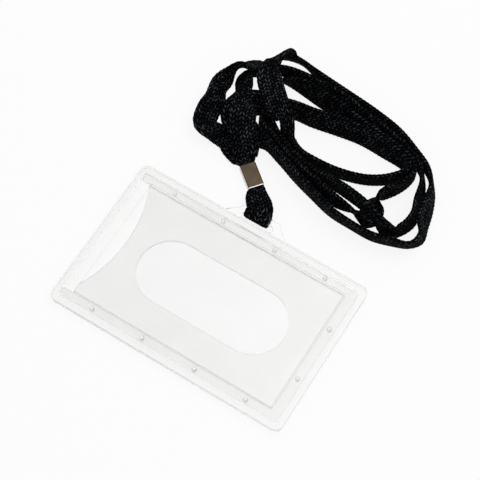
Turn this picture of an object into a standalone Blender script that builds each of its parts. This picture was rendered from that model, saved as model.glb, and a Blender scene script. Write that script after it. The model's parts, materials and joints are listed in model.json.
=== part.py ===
"""Badge holder with lanyard.

A milky plastic holder for one name card, with a flat black knitted strap threaded through its
hanging tab and closed by a folded metal ferrule. The holder lies on its back, +Z up, with its
long side along X and its slotted tab towards +Y. Sizes are worked out from the middle of the
holder's underside, and the whole model then moves so that its origin is the middle of the
underside with the tab counted in. All lengths are in metres.
"""
import math

import bmesh
import bpy
import numpy as np
from mathutils import Matrix, Vector

MM = 0.001

# Gap between pieces that rest on each other
GAP = 0.3 * MM

# Length below which two points are one
WELD = 0.001 * MM

# Holder, outside
HOLDER_LENGTH = 106 * MM
HOLDER_WIDTH = 69.2 * MM
CORNER_RADIUS = 3 * MM
RIM_HEIGHT = 3.6 * MM
RIM_END_WIDTH = 2.7 * MM
RIM_SIDE_WIDTH = 3.1 * MM

# Card pocket, for a 90 x 54 mm name card
CARD_LENGTH = 90 * MM
CARD_WIDTH = 54 * MM
CARD_PLAY = 0.6 * MM
POCKET_HEIGHT = 2.0 * MM
PANEL_WALL = 0.7 * MM
BACK_THICKNESS = 1.0 * MM
LEDGE_HEIGHT = 1.7 * MM
FLANGE_THICKNESS = 0.8 * MM
PANEL_THICKNESS = 0.8 * MM
PANEL_CORNER = 1.2 * MM
RECESS_CORNER = 1.0 * MM
SMALL_CORNER_STEPS = 3

# Stadium-shaped window in the back, for pushing the card out with a thumb
WINDOW_CENTRE_X = 1.2 * MM
WINDOW_LENGTH = 66.6 * MM
WINDOW_WIDTH = 28.3 * MM
WINDOW_END_STEPS = 10

# Curved cut-out at the open end of the front sheet
MOUTH_X = -45.4 * MM
MOUTH_HALF_CHORD = 25 * MM
MOUTH_DEPTH = 5.8 * MM
MOUTH_CENTRE_Y = 1.0 * MM
MOUTH_STEPS = 24

# Hanging tab with a badge slot
TAB_BASE_HALF = 14 * MM
TAB_TOP_HALF = 9.2 * MM
TAB_CORNER_Y = 38.9 * MM
TAB_TOP_Y = 40.2 * MM
TAB_THICKNESS = 1.2 * MM
TAB_TOP_Z = 3.85 * MM
TAB_CORNER_STEPS = 4
SLOT_LENGTH = 14.2 * MM
SLOT_Y = (34.6 * MM, 37.5 * MM)
SLOT_CORNER = 0.8 * MM

# Heat-staked studs that join the two sheets
STUD_SHANK_RADIUS = 0.6 * MM
STUD_HEAD_RADIUS = 1.0 * MM
STUD_HEAD_HEIGHT = 0.45 * MM
STUD_HOLE_RADIUS = 0.95 * MM
STUD_HOLE_FLOOR = 0.6 * MM
STUD_SIDES = 12
STUD_LONG_SIDE_X = (-35.4 * MM, -12.1 * MM, 12.1 * MM, 35.4 * MM)
STUD_LONG_SIDE_Y = 29.7 * MM
STUD_END_X = 47.9 * MM
STUD_END_Y = (-12 * MM, 12 * MM)

# Strap
STRAP_WIDTH = 11 * MM
STRAP_THICKNESS = 1.0 * MM
STRAP_STEP = 3.2 * MM
STRAP_CLEARANCE = 0.3 * MM
STRAP_FLAT_HEIGHT = 0.7 * MM
STRAP_EDGE_SHARE = 0.45
PINCHED_WIDTH = 5.3 * MM
MOUTH_WIDTH_SHARE = 0.78

# Loop of the strap round the tab's bar
BAR_Y = 0.5 * (SLOT_Y[1] + TAB_TOP_Y)
BAR_Z = TAB_TOP_Z - 0.5 * TAB_THICKNESS
LOOP_CENTRE_X = -1.2 * MM
LOOP_INNER_RADIUS = 1.85 * MM
LOOP_THICKNESS = 1.2 * MM
LOOP_TURN_STEPS = 12
LOOP_STEP = 1.2 * MM
LOOP_SKEW = math.radians(3)
LOOP_SKEW_START = math.radians(110)

# The loop's two legs from the ferrule to the bar, chosen by hand, in millimetres and degrees:
# x, y, height, direction of its width and width
LOWER_LEG = [(-6.4, 47.4, 1.6, 50, 6.6), (-4.1, 45.2, 1.3, 42, 8.8), (-2.4, 42.4, 1.0, 18, 10.4)]
UPPER_LEG = [(-1.6, 42.6, 5.2, 6, 10.7), (-5.0, 44.9, 4.5, 25, 10.1), (-7.5, 47.9, 3.2, 47, 6.6)]

# Folded metal ferrule
FERRULE_LENGTH = 10.9 * MM
FERRULE_WIDTH = 6.9 * MM
FERRULE_HEIGHT = 3.9 * MM
FERRULE_WALL = 0.5 * MM
FERRULE_SEAM = 0.4 * MM
FERRULE_BEND = 0.7 * MM
FERRULE_CENTRE = Vector((-12.9 * MM, 52.75 * MM, 2.3 * MM))
FERRULE_ANGLE = math.radians(141.3)
LAYER_OFFSET = 0.65 * MM
STRAP_GRIP = 0.5 * MM

# The strap's route from one end in the ferrule to the other, chosen by hand, in millimetres and
# degrees: x, y, lift of its lowest edge above the surface, and how far its left side leans up
# out of flat (0 flat, 90 on edge, 180 flat on its other face).
STRAP_ROUTE = [
    # Out of the ferrule, flat, and up the left side
    (-19.9, 58.4, 0.6, 0), (-26.5, 61.0, 0.0, 0), (-29.6, 62.5, 0.0, 4), (-36.1, 62.3, 0.3, 16),
    (-41.7, 62.4, 0.0, 30), (-44.1, 68.8, 0.0, 34), (-44.2, 73.9, 0.0, 40), (-46.1, 80.4, 0.0, 60),
    (-45.2, 85.7, 0.0, 70),
    # Second strand of the far side
    (-44.2, 92.4, 0.0, 106), (-41.0, 95.5, 0.0, 138), (-36.6, 98.5, 0.1, 136), (-26.1, 100.4, 0.1, 93),
    (-8.5, 102.2, 0.0, 90), (3.5, 101.0, 0.0, 80), (16.0, 98.0, 0.0, 78), (26.5, 96.5, 0.0, 82),
    (36.0, 94.5, 0.0, 90),
    # Round the right end and back along the near side
    (44.0, 90.5, 0.0, 95), (48.5, 84.5, 0.0, 102), (50.5, 76.5, 0.0, 103), (52.5, 70.0, 0.0, 103),
    (51.2, 63.8, 0.0, 95), (48.5, 59.9, 0.5, 90), (43.6, 58.8, 5.4, 90), (37.0, 60.5, 7.0, 90),
    (29.5, 62.5, 6.0, 90), (18.0, 65.5, 1.5, 88), (7.0, 66.0, 0.0, 88), (-3.5, 68.5, 0.0, 88),
    (-12.5, 73.0, 0.0, 88), (-15.6, 74.9, 0.0, 90),
    # Hairpin under the upper strands
    (-18.9, 76.9, 0.0, 90), (-21.6, 77.0, 0.0, 90), (-22.3, 74.6, 0.0, 90), (-19.0, 72.2, 0.0, 88),
    # Third strand of the near side, passing under the second
    (-11.5, 69.5, 0.0, 90), (-3.0, 66.0, 0.0, 90), (7.0, 63.5, 0.0, 90), (17.6, 60.5, 0.0, 84),
    (29.6, 59.8, 0.0, 108), (36.6, 60.5, 0.0, 156), (36.3, 66.2, 0.0, 150), (36.0, 70.9, 0.0, 96),
    (40.5, 78.0, 0.0, 90), (43.0, 84.5, 0.0, 92), (42.5, 88.5, 0.0, 90), (39.0, 91.0, 0.0, 92),
    # Third strand of the far side
    (34.0, 92.0, 0.0, 100), (24.5, 93.0, 0.0, 106), (14.0, 94.5, 0.0, 105), (3.0, 96.5, 0.0, 104),
    (-7.5, 97.5, 0.0, 102), (-17.5, 98.3, 0.0, 95), (-26.0, 96.2, 0.0, 60), (-35.6, 95.6, 0.0, 40),
    # Turn at the left, lying nearly flat
    (-39.3, 90.0, 0.0, 46), (-36.6, 84.6, 0.5, 48), (-35.4, 76.0, 3.0, 20), (-32.8, 70.6, 3.2, 14),
    (-24.2, 67.8, 2.8, 35), (-15.0, 67.0, 1.2, 86),
    # Nearest strand of the near side, and the outermost turn of the right end
    (-7.5, 65.0, 0.0, 90), (3.0, 61.0, 0.0, 90), (12.5, 57.9, 0.0, 92), (22.6, 54.9, 0.0, 95),
    (32.6, 54.0, 0.0, 99), (42.2, 54.0, 0.0, 99), (50.2, 56.1, 0.0, 100), (56.8, 58.6, 0.0, 103),
    (59.1, 64.0, 0.0, 80), (56.6, 70.1, 0.0, 63), (54.8, 77.6, 0.0, 65), (52.6, 84.8, 0.0, 77),
    (47.4, 91.2, 0.0, 84),
    # Outermost strand of the far side, up to the peak
    (38.6, 95.6, 0.0, 90), (28.5, 99.6, 0.0, 92), (17.0, 102.1, 0.0, 90), (5.5, 103.7, 0.0, 88),
    (-6.0, 105.2, 0.0, 84), (-15.0, 106.7, 0.0, 78), (-22.3, 108.1, 0.5, 69), (-28.2, 105.6, 3.4, 67),
    # Down across the strands beneath it
    (-29.1, 97.7, 13.2, 50), (-28.9, 91.8, 12.6, 28), (-24.0, 86.0, 12.0, 22), (-18.2, 80.3, 13.4, 36),
    (-11.4, 75.8, 11.4, 66),
    # Innermost strands
    (-7.6, 73.0, 2.8, 84), (-1.4, 71.0, 0.0, 94), (8.0, 70.5, 0.0, 96), (17.5, 71.5, 0.0, 97),
    (27.5, 74.5, 0.0, 97), (34.0, 78.5, 0.0, 95), (39.0, 83.5, 0.0, 90), (40.8, 86.5, 0.0, 90),
    (37.4, 89.4, 0.0, 95), (27.5, 91.0, 0.0, 106), (16.0, 91.5, 0.0, 108), (5.0, 90.0, 0.0, 110),
    (-5.0, 88.0, 0.0, 108), (-13.0, 87.0, 0.0, 106), (-19.5, 84.8, 0.0, 118), (-25.2, 83.2, 0.0, 124),
    # Over the left turn and down into the ferrule
    (-29.6, 78.2, 6.0, 150), (-28.0, 70.8, 12.4, 166), (-25.5, 65.9, 12.0, 175),
    (-23.1, 63.0, 10.2, 179), (-20.9, 61.2, 6.3, 180), (-19.9, 58.4, 2.6, 180),
]

# Levels of the holder that follow from the sizes above
FLANGE_BOTTOM = LEDGE_HEIGHT + GAP
FLANGE_TOP = FLANGE_BOTTOM + FLANGE_THICKNESS
POCKET_TOP = BACK_THICKNESS + POCKET_HEIGHT
PANEL_TOP = POCKET_TOP + PANEL_THICKNESS
POCKET_HALF_LENGTH = 0.5 * (CARD_LENGTH + CARD_PLAY)
POCKET_HALF_WIDTH = 0.5 * (CARD_WIDTH + CARD_PLAY)
PANEL_HALF_LENGTH = POCKET_HALF_LENGTH + PANEL_WALL
PANEL_HALF_WIDTH = POCKET_HALF_WIDTH + PANEL_WALL
RECESS_HALF_LENGTH = 0.5 * HOLDER_LENGTH - RIM_END_WIDTH
RECESS_HALF_WIDTH = 0.5 * HOLDER_WIDTH - RIM_SIDE_WIDTH

COLOURS = {
    "milky_plastic": ((0.86, 0.87, 0.86, 1), 0.35, 0.0),
    "clear_plastic": ((0.88, 0.89, 0.88, 1), 0.30, 0.0),
    "black_knit": ((0.012, 0.012, 0.014, 1), 0.90, 0.0),
    "steel": ((0.62, 0.58, 0.52, 1), 0.25, 1.0),
}


def clear_scene():
    for obj in list(bpy.data.objects):
        bpy.data.objects.remove(obj, do_unlink=True)


def new_collection(name):
    collection = bpy.data.collections.new(name)
    bpy.context.scene.collection.children.link(collection)
    return collection


def make_material(name):
    colour, roughness, metallic = COLOURS[name]
    material = bpy.data.materials.new(name)
    material.use_nodes = True
    shader = material.node_tree.nodes["Principled BSDF"]
    shader.inputs["Base Color"].default_value = colour
    shader.inputs["Roughness"].default_value = roughness
    shader.inputs["Metallic"].default_value = metallic
    material.diffuse_color = colour
    return material


def add_object(name, data, collection, material=None):
    obj = bpy.data.objects.new(name, data)
    collection.objects.link(obj)
    if material is not None:
        data.materials.append(material)
    return obj


def mesh_from(shape, name):
    """Ends a bmesh as a mesh with its faces pointing out."""
    bmesh.ops.recalc_face_normals(shape, faces=shape.faces)
    mesh = bpy.data.meshes.new(name)
    shape.to_mesh(mesh)
    shape.free()
    return mesh


def plate_shape(low, high, corner=0.0, segments=4):
    """A plate between two corner points, with its upright edges rounded."""
    shape = bmesh.new()
    bmesh.ops.create_cube(shape, size=1.0)
    low = Vector(low)
    high = Vector(high)
    bmesh.ops.scale(shape, vec=high - low, verts=shape.verts)
    bmesh.ops.translate(shape, vec=0.5 * (low + high), verts=shape.verts)
    if corner:
        upright = [e for e in shape.edges if abs(e.verts[0].co.z - e.verts[1].co.z) > WELD]
        bmesh.ops.bevel(shape, geom=upright, offset=corner, offset_type="OFFSET", segments=segments,
                        profile=0.5, affect="EDGES")
    return shape


def outline_mesh(name, points, bottom, top):
    """A flat outline, filled and given its thickness, as a closed mesh."""
    curve = bpy.data.curves.new(name, "CURVE")
    curve.dimensions = "2D"
    curve.fill_mode = "BOTH"
    curve.extrude = 0.5 * (top - bottom)
    spline = curve.splines.new("POLY")
    spline.points.add(len(points) - 1)
    for point, (x, y) in zip(spline.points, points):
        point.co = (x, y, 0, 1)
    spline.use_cyclic_u = True
    outline = bpy.data.objects.new(name, curve)
    bpy.context.scene.collection.objects.link(outline)
    outline.location.z = 0.5 * (top + bottom)
    bpy.context.view_layer.update()
    evaluated = outline.evaluated_get(bpy.context.evaluated_depsgraph_get())
    mesh = bpy.data.meshes.new_from_object(evaluated)
    mesh.transform(outline.matrix_world)
    bpy.data.objects.remove(outline)
    shape = bmesh.new()
    shape.from_mesh(mesh)
    bpy.data.meshes.remove(mesh)
    bmesh.ops.remove_doubles(shape, verts=shape.verts, dist=WELD)
    return mesh_from(shape, name)


def cut_or_join(obj, other, operation):
    """Adds a Boolean with another object, which becomes a hidden guide."""
    other.hide_render = True
    other.display_type = "WIRE"
    modifier = obj.modifiers.new(other.name, "BOOLEAN")
    modifier.operation = operation
    modifier.solver = "EXACT"
    modifier.object = other


def stud_places():
    """Names and centres of the studs: along both long sides and at the closed end."""
    places = []
    for side, y in (("far", STUD_LONG_SIDE_Y), ("near", -STUD_LONG_SIDE_Y)):
        for number, x in enumerate(STUD_LONG_SIDE_X, start=1):
            places.append((f"stud_{side}_{number}", x, y))
    for number, y in enumerate(STUD_END_Y, start=1):
        places.append((f"stud_end_{number}", STUD_END_X, y))
    return places


def stud_holes(name, bottom, top, guides):
    """One guide with a round hole at every stud."""
    shape = bmesh.new()
    for _, x, y in stud_places():
        place = Matrix.Translation((x, y, 0.5 * (bottom + top)))
        bmesh.ops.create_cone(shape, cap_ends=True, segments=STUD_SIDES, radius1=STUD_HOLE_RADIUS,
                              radius2=STUD_HOLE_RADIUS, depth=top - bottom, matrix=place)
    return add_object(name, mesh_from(shape, name), guides)


def make_back_shell(parts, guides, material):
    """Back moulding: sheet, rim, ledge, thumb window and slotted tab."""
    half_length = 0.5 * HOLDER_LENGTH
    half_width = 0.5 * HOLDER_WIDTH
    blank = plate_shape((-half_length, -half_width, 0), (half_length, half_width, RIM_HEIGHT),
                        CORNER_RADIUS)
    back = add_object("back_shell", mesh_from(blank, "back_shell"), parts, material)

    above = RIM_HEIGHT + MM
    recess = plate_shape((-RECESS_HALF_LENGTH, -RECESS_HALF_WIDTH, LEDGE_HEIGHT),
                         (RECESS_HALF_LENGTH, RECESS_HALF_WIDTH, above), RECESS_CORNER, SMALL_CORNER_STEPS)
    cut_or_join(back, add_object("recess_cut", mesh_from(recess, "recess_cut"), guides), "DIFFERENCE")

    pocket = plate_shape((-POCKET_HALF_LENGTH - PANEL_WALL, -POCKET_HALF_WIDTH, BACK_THICKNESS),
                         (POCKET_HALF_LENGTH, POCKET_HALF_WIDTH, LEDGE_HEIGHT + MM))
    cut_or_join(back, add_object("pocket_cut", mesh_from(pocket, "pocket_cut"), guides), "DIFFERENCE")

    window = plate_shape((WINDOW_CENTRE_X - 0.5 * WINDOW_LENGTH, -0.5 * WINDOW_WIDTH, -MM),
                         (WINDOW_CENTRE_X + 0.5 * WINDOW_LENGTH, 0.5 * WINDOW_WIDTH, BACK_THICKNESS + MM),
                         0.5 * WINDOW_WIDTH - WELD, WINDOW_END_STEPS)
    cut_or_join(back, add_object("window_cut", mesh_from(window, "window_cut"), guides), "DIFFERENCE")

    root_y = 0.5 * HOLDER_WIDTH - MM
    outline = [(-TAB_BASE_HALF, root_y), (TAB_BASE_HALF, root_y), (TAB_BASE_HALF, SLOT_Y[0])]
    outline += rounded_tab_corner()
    outline += [(-x, y) for x, y in reversed(rounded_tab_corner())]
    outline += [(-TAB_BASE_HALF, SLOT_Y[0])]
    tab = outline_mesh("tab_join", outline, TAB_TOP_Z - TAB_THICKNESS, TAB_TOP_Z)
    cut_or_join(back, add_object("tab_join", tab, guides), "UNION")

    slot = plate_shape((-0.5 * SLOT_LENGTH, SLOT_Y[0], TAB_TOP_Z - TAB_THICKNESS - MM),
                       (0.5 * SLOT_LENGTH, SLOT_Y[1], TAB_TOP_Z + MM), SLOT_CORNER, SMALL_CORNER_STEPS)
    cut_or_join(back, add_object("slot_cut", mesh_from(slot, "slot_cut"), guides), "DIFFERENCE")
    cut_or_join(back, stud_holes("ledge_holes", STUD_HOLE_FLOOR, above, guides), "DIFFERENCE")


def rounded_tab_corner():
    """The tab's upper right corner, as an arc from its sloping edge to its top edge."""
    radius = TAB_TOP_Y - TAB_CORNER_Y
    points = []
    for step in range(TAB_CORNER_STEPS + 1):
        angle = 0.5 * math.pi * step / TAB_CORNER_STEPS
        x = TAB_TOP_HALF - radius + radius * math.cos(angle)
        points.append((x, TAB_CORNER_Y + radius * math.sin(angle)))
    return points


def make_front_shell(parts, guides, material):
    """Front sheet: flange on three sides and a raised pocket face with a curved open end."""
    flange = plate_shape((-RECESS_HALF_LENGTH + GAP, -RECESS_HALF_WIDTH + GAP, FLANGE_BOTTOM),
                         (RECESS_HALF_LENGTH - GAP, RECESS_HALF_WIDTH - GAP, FLANGE_TOP),
                         RECESS_CORNER - GAP, SMALL_CORNER_STEPS)
    front = add_object("front_shell", mesh_from(flange, "front_shell"), parts, material)

    raised = plate_shape((-RECESS_HALF_LENGTH - MM, -PANEL_HALF_WIDTH, FLANGE_BOTTOM),
                         (PANEL_HALF_LENGTH, PANEL_HALF_WIDTH, PANEL_TOP), PANEL_CORNER, SMALL_CORNER_STEPS)
    cut_or_join(front, add_object("panel_join", mesh_from(raised, "panel_join"), guides), "UNION")

    pocket = plate_shape((-RECESS_HALF_LENGTH - 2 * MM, -POCKET_HALF_WIDTH, FLANGE_BOTTOM - MM),
                         (POCKET_HALF_LENGTH, POCKET_HALF_WIDTH, POCKET_TOP))
    pocket_cut = add_object("front_pocket_cut", mesh_from(pocket, "front_pocket_cut"), guides)
    cut_or_join(front, pocket_cut, "DIFFERENCE")

    left = -RECESS_HALF_LENGTH - 3 * MM
    outline = [(left, -PANEL_HALF_WIDTH), (MOUTH_X, -PANEL_HALF_WIDTH)]
    radius = (MOUTH_HALF_CHORD ** 2 + MOUTH_DEPTH ** 2) / (2 * MOUTH_DEPTH)
    sweep = math.asin(MOUTH_HALF_CHORD / radius)
    for step in range(MOUTH_STEPS + 1):
        angle = sweep * (2 * step / MOUTH_STEPS - 1)
        x = MOUTH_X + MOUTH_DEPTH - radius + radius * math.cos(angle)
        outline.append((x, MOUTH_CENTRE_Y + radius * math.sin(angle)))
    outline += [(MOUTH_X, PANEL_HALF_WIDTH), (left, PANEL_HALF_WIDTH)]
    mouth = outline_mesh("mouth_cut", outline, FLANGE_BOTTOM - MM, PANEL_TOP + MM)
    cut_or_join(front, add_object("mouth_cut", mouth, guides), "DIFFERENCE")
    cut_or_join(front, stud_holes("flange_holes", LEDGE_HEIGHT, PANEL_TOP, guides), "DIFFERENCE")


def make_studs(parts, material):
    """Turned studs: a shank down into the ledge and a domed head on the flange."""
    seat = FLANGE_TOP + GAP
    foot = STUD_HOLE_FLOOR + GAP
    profile = [(0, seat + STUD_HEAD_HEIGHT)]
    for angle in (math.radians(30), math.radians(60)):
        profile.append((STUD_HEAD_RADIUS * math.sin(angle), seat + STUD_HEAD_HEIGHT * math.cos(angle)))
    profile += [(STUD_HEAD_RADIUS, seat), (STUD_SHANK_RADIUS, seat), (STUD_SHANK_RADIUS, foot), (0, foot)]
    shape = bmesh.new()
    verts = [shape.verts.new((x, 0, z)) for x, z in profile]
    for first, second in zip(verts, verts[1:]):
        shape.edges.new((first, second))
    mesh = bpy.data.meshes.new("stud")
    shape.to_mesh(mesh)
    shape.free()
    mesh.materials.append(material)
    for name, x, y in stud_places():
        stud = add_object(name, mesh, parts)
        stud.location = (x, y, 0)
        screw = stud.modifiers.new("turn", "SCREW")
        screw.steps = STUD_SIDES
        screw.render_steps = STUD_SIDES
        screw.use_merge_vertices = True
        screw.merge_threshold = WELD
        screw.use_smooth_shade = True


def make_ferrule(parts, guides, material, carrier):
    """Folded sheet sleeve, open at both ends, with a fine seam along its underside."""
    half = 0.5 * Vector((FERRULE_LENGTH, FERRULE_WIDTH, FERRULE_HEIGHT))
    shape = plate_shape(-half, half)
    along = [e for e in shape.edges if abs(e.verts[0].co.x - e.verts[1].co.x) > WELD]
    bmesh.ops.bevel(shape, geom=along, offset=FERRULE_BEND, offset_type="OFFSET",
                    segments=SMALL_CORNER_STEPS, profile=0.5, affect="EDGES")
    ferrule = add_object("ferrule", mesh_from(shape, "ferrule"), parts, material)
    inner = half - Vector((-MM, FERRULE_WALL, FERRULE_WALL))
    channel = add_object("channel_cut", mesh_from(plate_shape(-inner, inner), "channel_cut"), guides)
    cut_or_join(ferrule, channel, "DIFFERENCE")
    seam = plate_shape((-half.x - MM, -0.5 * FERRULE_SEAM, -half.z - MM),
                       (half.x + MM, 0.5 * FERRULE_SEAM, 0))
    seam_cut = add_object("seam_cut", mesh_from(seam, "seam_cut"), guides)
    cut_or_join(ferrule, seam_cut, "DIFFERENCE")
    for obj in (ferrule, channel, seam_cut):
        obj.parent = carrier
        obj.location = FERRULE_CENTRE - carrier.location
        obj.rotation_euler.z = FERRULE_ANGLE


def ferrule_point(along, layer):
    """A point in the ferrule's channel: along its axis from its middle, on the lower or upper layer."""
    axis = Vector((math.cos(FERRULE_ANGLE), math.sin(FERRULE_ANGLE), 0))
    return FERRULE_CENTRE + axis * along + Vector((0, 0, layer * LAYER_OFFSET))


def curve_between(rows, shares):
    """Rows on the smooth cubic between the middle two of four rows, with centripetal knots."""
    knots = [0.0]
    for first, second in zip(rows, rows[1:]):
        knots.append(knots[-1] + np.linalg.norm(second[:3] - first[:3]) ** 0.5)

    def blend(t, start, end, first, second):
        weight = (t - knots[start]) / (knots[end] - knots[start])
        return (1 - weight) * first + weight * second

    result = []
    for share in shares:
        t = knots[1] + (knots[2] - knots[1]) * share
        lines = [blend(t, i, i + 1, rows[i], rows[i + 1]) for i in range(3)]
        arcs = [blend(t, i, i + 2, lines[i], lines[i + 1]) for i in range(2)]
        result.append(blend(t, 1, 2, arcs[0], arcs[1]))
    return result


def smooth_rows(rows, step):
    """Rows along one smooth curve through all the given rows, about a step apart."""
    rows = np.vstack([2 * rows[0] - rows[1], rows, 2 * rows[-1] - rows[-2]])
    points = []
    for i in range(1, len(rows) - 2):
        span = np.linalg.norm(rows[i + 1, :3] - rows[i, :3])
        count = max(1, round(span / step))
        points += curve_between(rows[i - 1:i + 3], [k / count for k in range(count)])
    points.append(rows[-2])
    return np.array(points)


def route_points():
    """The strap's route as rows of x, y, z in metres, lean in radians and width share."""
    rows = []
    for x, y, lift, lean in STRAP_ROUTE:
        lean = math.radians(lean)
        height = STRAP_CLEARANCE + lift * MM + 0.5 * STRAP_WIDTH * abs(math.sin(lean))
        height += STRAP_FLAT_HEIGHT * abs(math.cos(lean))
        rows.append([x * MM, y * MM, height, lean, 1.0])
    rows[0][4] = MOUTH_WIDTH_SHARE
    rows[-1][4] = MOUTH_WIDTH_SHARE
    held = (STRAP_GRIP, 0.5 * FERRULE_LENGTH + GAP)
    pinched = PINCHED_WIDTH / STRAP_WIDTH
    lower = [[*ferrule_point(along, -1), 0.0, pinched] for along in held]
    upper = [[*ferrule_point(along, 1), math.pi, pinched] for along in reversed(held)]
    return np.array(lower + rows + upper)


def flat_section(width, thickness):
    """Outline of the flat strap: across its width and through its thickness, with thinner edges."""
    half = 0.5 * width
    edge = 0.5 * thickness
    low = STRAP_EDGE_SHARE * edge
    return [(-half, low), (-half + edge, edge), (half - edge, edge), (half, low),
            (half, -low), (half - edge, -edge), (-half + edge, -edge), (-half, -low)]


def make_neck_strap(parts, guides, material, carrier):
    """The free strap, one unbroken flat tube on edge or lying flat along its route."""
    section = bpy.data.curves.new("strap_section", "CURVE")
    section.dimensions = "2D"
    ring = section.splines.new("POLY")
    outline = flat_section(STRAP_WIDTH, STRAP_THICKNESS)
    ring.points.add(len(outline) - 1)
    for point, (x, y) in zip(ring.points, outline):
        point.co = (x, y, 0, 1)
    ring.use_cyclic_u = True
    section_object = add_object("strap_section", section, guides)
    section_object.hide_render = True
    section_object.display_type = "WIRE"

    curve = bpy.data.curves.new("neck_strap", "CURVE")
    curve.dimensions = "3D"
    curve.twist_mode = "Z_UP"
    curve.bevel_mode = "OBJECT"
    curve.bevel_object = section_object
    curve.use_fill_caps = True
    points = smooth_rows(route_points(), STRAP_STEP)
    spline = curve.splines.new("POLY")
    spline.points.add(len(points) - 1)
    for point, (x, y, z, lean, width) in zip(spline.points, points):
        point.co = (*(Vector((x, y, z)) - carrier.location), 1)
        point.tilt = lean
        point.radius = width
    strap = add_object("neck_strap", curve, parts, material)
    strap.parent = carrier
    report_gap(points)


def report_gap(points):
    """Prints the strap's length and the least gap between stretches of it that pass each other."""
    place = points[:, :3]
    along = np.gradient(place, axis=0)
    along /= np.linalg.norm(along, axis=1)[:, None]
    left = np.cross([0, 0, 1], along)
    left /= np.linalg.norm(left, axis=1)[:, None]
    up = np.cross(along, left)
    lean = points[:, 3:4]
    across = left * np.cos(lean) + up * np.sin(lean)
    shares = np.linspace(-0.5, 0.5, 9)
    nearby = 1.3 * STRAP_WIDTH
    widths = points[:, 4] * STRAP_WIDTH
    sheet = place[:, None] + across[:, None] * (shares[None, :, None] * widths[:, None, None])
    steps = np.linalg.norm(np.diff(place, axis=0), axis=1)
    run = np.concatenate([[0], np.cumsum(steps)])
    least = math.inf
    for i in range(len(sheet)):
        far = np.flatnonzero(run - run[i] > nearby)
        if len(far) == 0:
            break
        apart = np.linalg.norm(sheet[i][None, :, None] - sheet[far][:, None], axis=3)
        gap = apart.min(axis=(1, 2)) - 0.5 * STRAP_THICKNESS * (points[i, 4] + points[far, 4])
        least = min(least, gap.min())
    lowest = sheet[:, :, 2].min() / MM
    print(f"neck strap: length {run[-1] / MM:.0f} mm, least gap {least / MM:.2f} mm,",
          f"lowest mid-sheet point {lowest:.2f} mm")


def loop_rows():
    """The slot loop as rows of x, y, z in metres, direction of its width in radians and width."""
    rows = []
    across_ferrule = FERRULE_ANGLE - 0.5 * math.pi
    held = (-STRAP_GRIP, -0.25 * FERRULE_LENGTH, -0.5 * FERRULE_LENGTH - GAP)
    for along in held:
        rows.append([*ferrule_point(along, -1), across_ferrule, PINCHED_WIDTH])
    for x, y, z, direction, width in LOWER_LEG:
        rows.append([x * MM, y * MM, z * MM, math.radians(direction), width * MM])
    radius = LOOP_INNER_RADIUS + 0.5 * LOOP_THICKNESS
    for step in range(LOOP_TURN_STEPS + 1):
        angle = math.pi * step / LOOP_TURN_STEPS
        y = BAR_Y - radius * math.sin(angle)
        z = BAR_Z - radius * math.cos(angle)
        skew = LOOP_SKEW * max(0.0, (angle - LOOP_SKEW_START) / (math.pi - LOOP_SKEW_START))
        rows.append([LOOP_CENTRE_X, y, z, skew, STRAP_WIDTH])
    for x, y, z, direction, width in UPPER_LEG:
        rows.append([x * MM, y * MM, z * MM, math.radians(direction), width * MM])
    for along in reversed(held):
        rows.append([*ferrule_point(along, 1), across_ferrule, PINCHED_WIDTH])
    return np.array(rows)


def make_slot_loop(parts, material, carrier):
    """The strap's loop through the slot: a turn round the bar and two legs drawn in to the ferrule."""
    stations = smooth_rows(loop_rows(), LOOP_STEP)
    middle = carrier.location
    shape = bmesh.new()
    rings = []
    for i, (x, y, z, direction, width) in enumerate(stations):
        before = Vector(stations[max(i - 1, 0)][:3])
        after = Vector(stations[min(i + 1, len(stations) - 1)][:3])
        along = (after - before).normalized()
        across = Vector((math.cos(direction), math.sin(direction), 0))
        across = (across - along * across.dot(along)).normalized()
        out = across.cross(along)
        centre = Vector((x, y, z)) - middle
        outline = flat_section(width, LOOP_THICKNESS)
        rings.append([shape.verts.new(centre + across * u + out * v) for u, v in outline])
    for first, second in zip(rings, rings[1:]):
        for i in range(len(first)):
            k = (i + 1) % len(first)
            shape.faces.new((first[i], first[k], second[k], second[i]))
    shape.faces.new(rings[0])
    shape.faces.new(rings[-1])
    loop = add_object("slot_loop", mesh_from(shape, "slot_loop"), parts, material)
    loop.parent = carrier


def main():
    clear_scene()
    parts = new_collection("badge_holder_with_lanyard")
    guides = new_collection("guides")
    materials = {name: make_material(name) for name in COLOURS}

    make_back_shell(parts, guides, materials["milky_plastic"])
    make_front_shell(parts, guides, materials["clear_plastic"])
    make_studs(parts, materials["clear_plastic"])

    # The lanyard swings about the bar, so its pieces hang from an empty on the bar's axis
    swing = add_object("lanyard_swing", None, parts)
    swing.location = (LOOP_CENTRE_X, BAR_Y, BAR_Z)
    make_slot_loop(parts, materials["black_knit"], swing)
    make_ferrule(parts, guides, materials["steel"], swing)
    make_neck_strap(parts, guides, materials["black_knit"], swing)

    origin = add_object("origin", None, parts)
    for obj in [*parts.objects, *guides.objects]:
        if obj.parent is None and obj is not origin:
            obj.parent = origin
    origin.location.y = -0.5 * (TAB_TOP_Y - 0.5 * HOLDER_WIDTH)


main()
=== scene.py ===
"""Finished look of the badge holder with lanyard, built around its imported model."""
import json
import math

import bmesh
import bpy
import numpy as np
from mathutils import Euler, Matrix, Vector
from mathutils.kdtree import KDTree


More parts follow.
